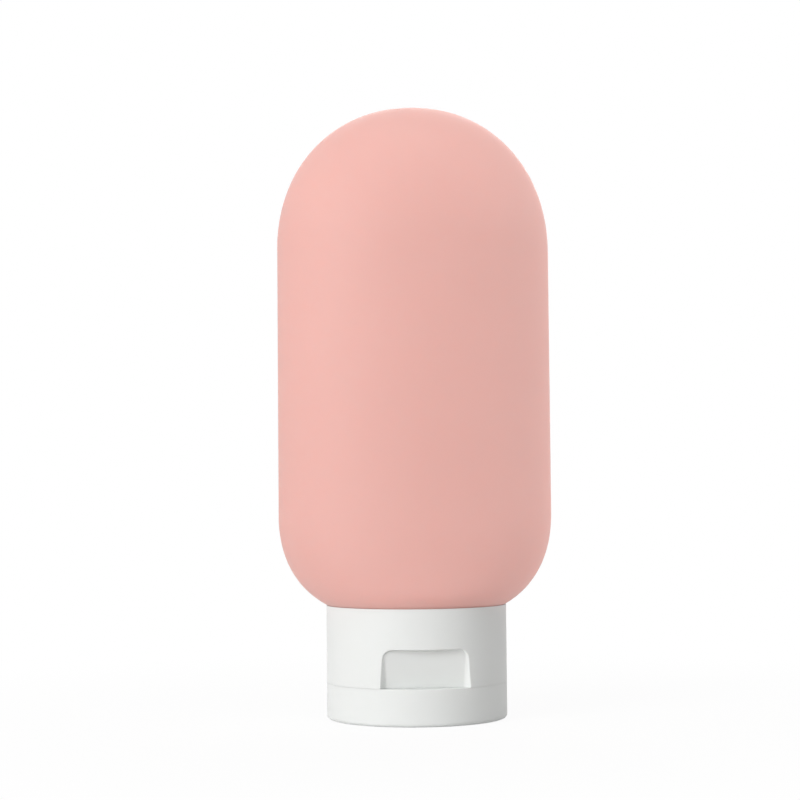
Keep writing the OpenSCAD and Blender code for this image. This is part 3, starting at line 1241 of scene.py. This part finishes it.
@dataclass(frozen=True)
class FlipLid(CapMoulding):
    """The lid that the tube stands on, with its plug, bead and ledge, in mm."""

    collar: CapCollar
    wall: float = 1.3
    end_t: float = 1.3
    edge_setback: float = 0.7
    edge_clear: float = 0.1
    lip_setback: float = 0.02
    bead_h: float = 0.25
    bead_half_flat: float = 0.06
    bead_setback: float = 0.05
    bead_foot: float = 0.08
    ledge_t: float = 1.1
    ledge_lap: float = 0.5
    ledge_drop: float = 0.004
    ledge_blend: float = 0.25
    ledge_setback: float = 0.1
    ledge_foot: float = 0.15
    plug_r: float = 1.7
    plug_reach: float = 1.5
    plug_tip_h: float = 0.6
    plug_tip_share: float = 0.7
    plug_setback: float = 0.3
    floor_fillet: float = 0.4
    gate_r: float = 0.9
    gate_depth: float = 0.12
    gate_setback: float = 0.08
    wall_level_gap: float = 0.8
    wall_plain: float = 0.2

    @property
    def inner_r(self) -> float:
        """Radius of the wall's inner face."""
        return self.tube.cap_r - self.wall

    @property
    def ledge_turn(self) -> float:
        """Angle from the front at which the ledge ends."""
        return math.asin((self.collar.recess_w / 2 + self.ledge_lap) / self.inner_r)

    def _ledge(self) -> list[Corner]:
        """Lay out the ledge that closes the recess from below.

        Returns:
            Its corners, from the lip inwards and down.
        """
        top_z = self.tube.lid_rim_z - self.ledge_drop
        tip_r = self.tube.cap_r - self.collar.recess_depth - self.ledge_lap
        return [
            Corner(self.inner_r - self.ledge_blend, top_z, self.lip_setback),
            Corner(tip_r, top_z, self.ledge_setback),
            Corner(tip_r, top_z - self.ledge_t, self.ledge_foot),
            Corner(self.inner_r, top_z - self.ledge_t, self.ledge_setback),
        ]

    def _bead(self) -> list[Corner]:
        """Lay out the bead that snaps over the collar's ring.

        Returns:
            Its corners from above.
        """
        middle_z = self.tube.fold_z - self.collar.snap_h / 2
        crest_r = self.inner_r - self.bead_h
        return [
            Corner(self.inner_r, middle_z + self.bead_h, self.bead_foot),
            Corner(crest_r, middle_z + self.bead_half_flat, self.bead_setback),
            Corner(crest_r, middle_z - self.bead_half_flat, self.bead_setback),
            Corner(self.inner_r, middle_z - self.bead_h, self.bead_foot),
        ]

    def _corners(self, angle: float, edge_r: float) -> list[Corner]:
        """List the corners of one column's section.

        Args:
            angle: The column's angle from the front.
            edge_r: The radius of the outer wall's upper edge there.

        Returns:
            The corners, from the middle of the flat end over the rim and round to the plug's tip.
        """
        t = self.tube
        ledged = abs(angle) < self.ledge_turn
        lip_r = self.inner_r + self.ledge_blend if ledged else self.inner_r
        tip_z = t.deck_z - self.collar.spout_h + self.plug_reach
        return [
            Corner(0, self.gate_depth),
            Corner(self.gate_r - self.gate_depth, self.gate_depth, self.gate_setback),
            Corner(self.gate_r, 0, self.gate_setback),
            Corner(t.cap_r, 0, self.edge_setback, self._wall_levels(), Role.WALL),
            Corner(edge_r, t.lid_rim_z, self.collar.part_setback, role=Role.UNDER),
            Corner(lip_r, t.lid_rim_z, self.lip_setback),
            *(self._ledge() if ledged else self._bead()),
            Corner(self.inner_r, self.end_t, self.floor_fillet),
            Corner(self.plug_r, self.end_t, self.floor_fillet),
            Corner(self.plug_r, tip_z - self.plug_tip_h, self.plug_setback),
            Corner(self.plug_r * self.plug_tip_share, tip_z, self.plug_setback),
            Corner(0, tip_z),
        ]

    def _wall_levels(self) -> tuple[float, ...]:
        """Space the outer wall's points, close together at the hinge.

        Returns:
            Their heights, from the flat end up.
        """
        rim, gap = self.tube.lid_rim_z, self.leaf.level_gap
        leaf_end = rim - self.leaf.span
        plain = steps(self.edge_setback + self.wall_plain, leaf_end, self.wall_level_gap)
        return (*plain, *steps(leaf_end + gap, rim - self.leaf.part_room, gap))

    def _angles(self) -> np.ndarray:
        """Return the columns' angles from the front, with a pair close together at the ledge."""
        front = steps(0, self.ledge_turn - TWIN_GAP, COLUMN_GAP)
        return mirrored(front + self.leaf.columns(self.ledge_turn + TWIN_GAP))

    def _face(self, angle: float, z: np.ndarray) -> tuple[np.ndarray, np.ndarray]:
        """Place the outer wall's points, on the leaf or on the round wall."""
        return self.leaf.face(angle, self.tube.fold_z - z)

    def build(self, finishes: Finishes) -> list[bpy.types.Object]:
        """Make the lid.

        Args:
            finishes: Dresses the piece.

        Returns:
            The piece, riding on the lid's body.
        """
        piece = self._mould(
            "lid_moulding",
            Ends.TIPS,
            edge_z=self.tube.lid_rim_z,
            far_z=self.edge_setback + self.edge_clear,
            plain_r=self.inner_r,
        )
        finishes.dress(piece, SATIN_WHITE)
        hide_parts("flip_lid")
        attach(piece, Carrier.LID.value)
        return [piece]


@dataclass(frozen=True)
class HingeFilm:
    """The thin film that joins the lid to the collar across the fold line, in mm."""

    tube: Tube
    leaf: HingeLeaf
    thickness: float = 0.28
    lap: float = 0.16
    edge: float = 0.06
    tip: float = 0.02
    side_gap: float = 0.1
    fold_steps: int = 8
    corner_steps: int = 4

    def build(self, finishes: Finishes) -> list[bpy.types.Object]:
        """Make the film.

        Args:
            finishes: Dresses the piece.

        Returns:
            The piece, spanning the gap between the cap and the lid.
        """
        t = self.tube
        half = self.leaf.width / 2 - self.side_gap
        middle_y = t.fold_y - self.thickness / 2
        gap = t.deck_z - t.lid_rim_z
        reach = gap / 2 + self.lap
        top = [reach, reach, reach - self.tip, reach - self.edge]
        fold = [gap / 2 - gap * i / self.fold_steps for i in range(self.fold_steps + 1)]
        heights = [*top, *fold, *(-z for z in top[::-1])]
        shrink = [1.0, self.edge, self.tip, 0.0]
        shrink += [0.0] * len(fold) + shrink[::-1]
        # An inset of 1 stands for a ring that has shrunk to a point
        rings = []
        for dz, inset in zip(heights, shrink, strict=True):
            w = 0.0 if inset == 1.0 else half - inset
            d = 0.0 if inset == 1.0 else self.thickness / 2 - inset
            rings.append(self._ring(w, d, middle_y, t.fold_z + dz))
        piece = skin("hinge_film", np.array(rings), Ends.TIPS)
        finishes.dress(piece, SATIN_WHITE)
        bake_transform(piece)
        return [piece]

    def _ring(self, half_w: float, half_d: float, y: float, z: float) -> np.ndarray:
        """Return one level ring of the film, an oblong with rounded corners.

        Args:
            half_w: Half its width.
            half_d: Half its depth.
            y: Its middle's distance behind the axis.
            z: Its height.

        Returns:
            The ring's points in mm.
        """
        points = []
        edge = min(self.edge, half_d, half_w)
        for corner, (sx, sy) in enumerate(((1, 1), (-1, 1), (-1, -1), (1, -1))):
            for i in range(self.corner_steps + 1):
                a = math.radians(90 * (corner + i / self.corner_steps))
                points.append((
                    sx * (half_w - edge) + edge * math.cos(a),
                    y + sy * (half_d - edge) + edge * math.sin(a),
                    z,
                ))
        return np.array(points)


@dataclass(frozen=True)
class SealingWasher:
    """The soft ring that the neck's mouth is screwed down on, in mm."""

    tube: Tube
    hole_r: float = 4.5
    outer_r: float = 11.95
    setback: float = 0.2
    columns: int = 160

    def build(self, finishes: Finishes) -> list[bpy.types.Object]:
        """Make the washer.

        Args:
            finishes: Dresses the piece.

        Returns:
            The piece, riding on the cap.
        """
        low, high = self.tube.deck_top_z, self.tube.washer_top_z
        corners = [
            Corner(self.hole_r, low, self.setback),
            Corner(self.hole_r, high, self.setback),
            Corner(self.outer_r, high, self.setback),
            Corner(self.outer_r, low, self.setback),
        ]
        r, z = (part[:, None] for part in turned_section(corners, closed=True).points.T)
        angle = np.linspace(0, 2 * math.pi, self.columns, endpoint=False)
        rings = polar_grid(*np.broadcast_arrays(r, angle, z))
        piece = skin("washer_ring", rings, Ends.JOINED)
        finishes.dress(piece, WASHER_WHITE)
        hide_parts("sealing_washer")
        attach(piece, Carrier.CAP.value)
        return [piece]


@dataclass(frozen=True)
class AreaLamp:
    """A soft square lamp, placed round the tube's middle, in metres, degrees and watts.

    A lamp with a slot lights only the pieces that take their finish from that slot.
    """

    name: str
    azimuth: float
    elevation: float
    distance: float
    size: float
    power: float
    slot: Slot | None = None


@dataclass(frozen=True)
class Studio:
    """Floor, soft light and the photograph's point of view, in mm unless a name says otherwise."""

    tube: Tube
    dressed: dict[Slot, list[bpy.types.Object]]
    azimuth_deg: float = -6.0
    distance: float = 350.0
    eye_z: float = 40.0
    aim_z: float = 58.1
    aim_left: float = 2.65
    roll_deg: float = 0.5
    lens: float = 85.5
    clip_m: tuple[float, float] = (0.01, 20.0)
    floor_half_m: float = 3.0
    world_level: float = 0.295
    floor_bounce: float = 0.75
    floor_tone: float = 0.9
    white_near: float = 0.93
    fade_from: float = 40.0
    fade_to: float = 160.0
    lamps: tuple[AreaLamp, ...] = (
        AreaLamp("key_lamp", -50, 14, 0.9, 0.4, 4.75),
        AreaLamp("side_lamp", 40, 25, 1.0, 0.5, 1.0),
        AreaLamp("body_lamp", 85, 20, 1.0, 0.7, 4.6, Slot.BODY),
        AreaLamp("top_lamp", -20, 75, 1.0, 0.6, 2.6),
        AreaLamp("back_lamp", 170, 30, 1.2, 0.9, 6.0),
    )

    def build(self) -> None:
        """Set up the camera, the world, the lamps and the floor."""
        self._camera()
        self._world()
        for lamp in self.lamps:
            self._lamp(lamp)
        self._floor()
        bpy.context.scene.view_settings.view_transform = "Standard"

    def _camera(self) -> None:
        """Place the camera where the photograph was taken from."""
        a = math.radians(self.azimuth_deg)
        back = Vector((math.sin(a), -math.cos(a), 0))
        right = Vector((math.cos(a), math.sin(a), 0))
        eye = back * self.distance + Vector((0, 0, self.eye_z))
        aim = Vector((0, 0, self.aim_z)) - right * self.aim_left
        data = bpy.data.cameras.new("camera")
        data.lens = self.lens
        data.clip_start, data.clip_end = self.clip_m
        camera = bpy.data.objects.new("camera", data)
        camera.location = eye * MM
        camera.rotation_mode = "QUATERNION"
        level = (aim - eye).to_track_quat("-Z", "Y")
        camera.rotation_quaternion = level @ Quaternion((0, 0, 1), math.radians(-self.roll_deg))
        bpy.context.scene.collection.objects.link(camera)
        bpy.context.scene.camera = camera

    def _world(self) -> None:
        """Light the tube from all round and show plain white behind it."""
        world = bpy.data.worlds.new("studio")
        bpy.context.scene.world = world
        world.use_nodes = True
        tree = world.node_tree
        tree.nodes.clear()
        light = tree.nodes.new("ShaderNodeBackground")
        light.inputs["Strength"].default_value = self.world_level
        white = tree.nodes.new("ShaderNodeBackground")
        for node in (light, white):
            node.inputs["Color"].default_value = (1, 1, 1, 1)
        out = tree.nodes.new("ShaderNodeOutputWorld")
        self._mix(tree, self._seen(tree), light, white, out)

    @staticmethod
    def _mix(
        tree: bpy.types.NodeTree,
        share: bpy.types.NodeSocket,
        first: bpy.types.Node,
        second: bpy.types.Node,
        out: bpy.types.Node,
    ) -> None:
        """Mix two shaders into an output.

        Args:
            tree: The nodes of the world or a material.
            share: How much of the second shader there is, from 0 to 1.
            first: The first shader's node.
            second: The second shader's node.
            out: The output's node.
        """
        mix = tree.nodes.new("ShaderNodeMixShader")
        tree.links.new(share, mix.inputs["Fac"])
        tree.links.new(first.outputs[0], mix.inputs[1])
        tree.links.new(second.outputs[0], mix.inputs[2])
        tree.links.new(mix.outputs["Shader"], out.inputs["Surface"])

    @staticmethod
    def _combined(
        tree: bpy.types.NodeTree, operation: str, a: bpy.types.NodeSocket, b: bpy.types.NodeSocket
    ) -> bpy.types.NodeSocket:
        """Work out one value from two.

        Args:
            tree: The nodes of the world or a material.
            operation: What is done with the two.
            a: The first value.
            b: The second value.

        Returns:
            The new value.
        """
        node = tree.nodes.new("ShaderNodeMath")
        node.operation = operation
        tree.links.new(a, node.inputs[0])
        tree.links.new(b, node.inputs[1])
        return node.outputs["Value"]

    def _seen(self, tree: bpy.types.NodeTree) -> bpy.types.NodeSocket:
        """Tell the rays that see the background.

        Args:
            tree: The nodes of the world or a material.

        Returns:
            A value that is 1 for rays from the camera, a reflection or clear matter.
        """
        path = tree.nodes.new("ShaderNodeLightPath")
        total = path.outputs["Is Camera Ray"]
        for kind in ("Is Glossy Ray", "Is Transmission Ray"):
            total = self._combined(tree, "MAXIMUM", total, path.outputs[kind])
        return total

    def _lamp(self, lamp: AreaLamp) -> None:
        """Place one soft lamp, aimed at the tube's middle.

        Args:
            lamp: The lamp.
        """
        a, e = math.radians(lamp.azimuth), math.radians(lamp.elevation)
        out = Vector((math.sin(a) * math.cos(e), -math.cos(a) * math.cos(e), math.sin(e)))
        middle = Vector((0, 0, self.tube.top_z / 2 * MM))
        data = bpy.data.lights.new(lamp.name, "AREA")
        data.shape = "SQUARE"
        data.size = lamp.size
        data.energy = lamp.power
        source = bpy.data.objects.new(lamp.name, data)
        source.location = middle + out * lamp.distance
        source.rotation_mode = "QUATERNION"
        source.rotation_quaternion = (-out).to_track_quat("-Z", "Y")
        bpy.context.scene.collection.objects.link(source)
        if lamp.slot:
            lit = bpy.data.collections.new(f"lit by {lamp.name}")
            for piece in self.dressed[lamp.slot]:
                lit.objects.link(piece)
            source.light_linking.receiver_collection = lit

    def _fade(self, tree: bpy.types.NodeTree) -> bpy.types.NodeSocket:
        """Let the floor fade into the background.

        Args:
            tree: The floor's nodes.

        Returns:
            How white the floor looks, which grows to 1 away from the tube.
        """
        place = tree.nodes.new("ShaderNodeTexCoord").outputs["Object"]
        length = tree.nodes.new("ShaderNodeVectorMath")
        length.operation = "LENGTH"
        fade = tree.nodes.new("ShaderNodeMapRange")
        fade.interpolation_type = "SMOOTHSTEP"
        fade.inputs["From Min"].default_value = self.fade_from * MM
        fade.inputs["From Max"].default_value = self.fade_to * MM
        fade.inputs["To Min"].default_value = self.white_near
        tree.links.new(place, length.inputs[0])
        tree.links.new(length.outputs["Value"], fade.inputs["Value"])
        return fade.outputs["Result"]

    def _floor(self) -> None:
        """Lay a white floor that keeps a faint shadow."""
        half = self.floor_half_m
        mesh = bpy.data.meshes.new("floor")
        corners = [(sx * half, sy * half, 0) for sx, sy in ((-1, -1), (1, -1), (1, 1), (-1, 1))]
        mesh.from_pydata(corners, [], [(0, 1, 2, 3)])
        floor = bpy.data.objects.new("floor", mesh)
        bpy.context.scene.collection.objects.link(floor)
        material = bpy.data.materials.new("white floor")
        material.use_nodes = True
        tree = material.node_tree
        tree.nodes.clear()
        seen = self._seen(tree)
        matt = tree.nodes.new("ShaderNodeBsdfDiffuse")
        tone = tree.nodes.new("ShaderNodeMapRange")
        tone.inputs["To Min"].default_value = self.floor_bounce
        tone.inputs["To Max"].default_value = self.floor_tone
        tree.links.new(seen, tone.inputs["Value"])
        tree.links.new(tone.outputs["Result"], matt.inputs["Color"])
        white = tree.nodes.new("ShaderNodeEmission")
        share = self._combined(tree, "MULTIPLY", seen, self._fade(tree))
        out = tree.nodes.new("ShaderNodeOutputMaterial")
        self._mix(tree, share, matt, white, out)
        mesh.materials.append(material)


def main() -> None:
    logging.basicConfig(level=logging.INFO, format="%(name)s: %(message)s")
    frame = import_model()
    tube = Tube.from_frame(frame)
    finishes = Finishes()
    leaf = HingeLeaf(tube)
    body = SqueezeBody(tube)
    collar = CapCollar(tube, leaf, body)
    lid = FlipLid(tube, leaf, collar)
    for part in (body, collar, lid, HingeFilm(tube, leaf), SealingWasher(tube)):
        for piece in part.build(finishes):
            LOG.info("%s: %d faces", piece.name, len(piece.data.polygons))
    Studio(tube, finishes.dressed).build()


if __name__ == "__main__":
    main()
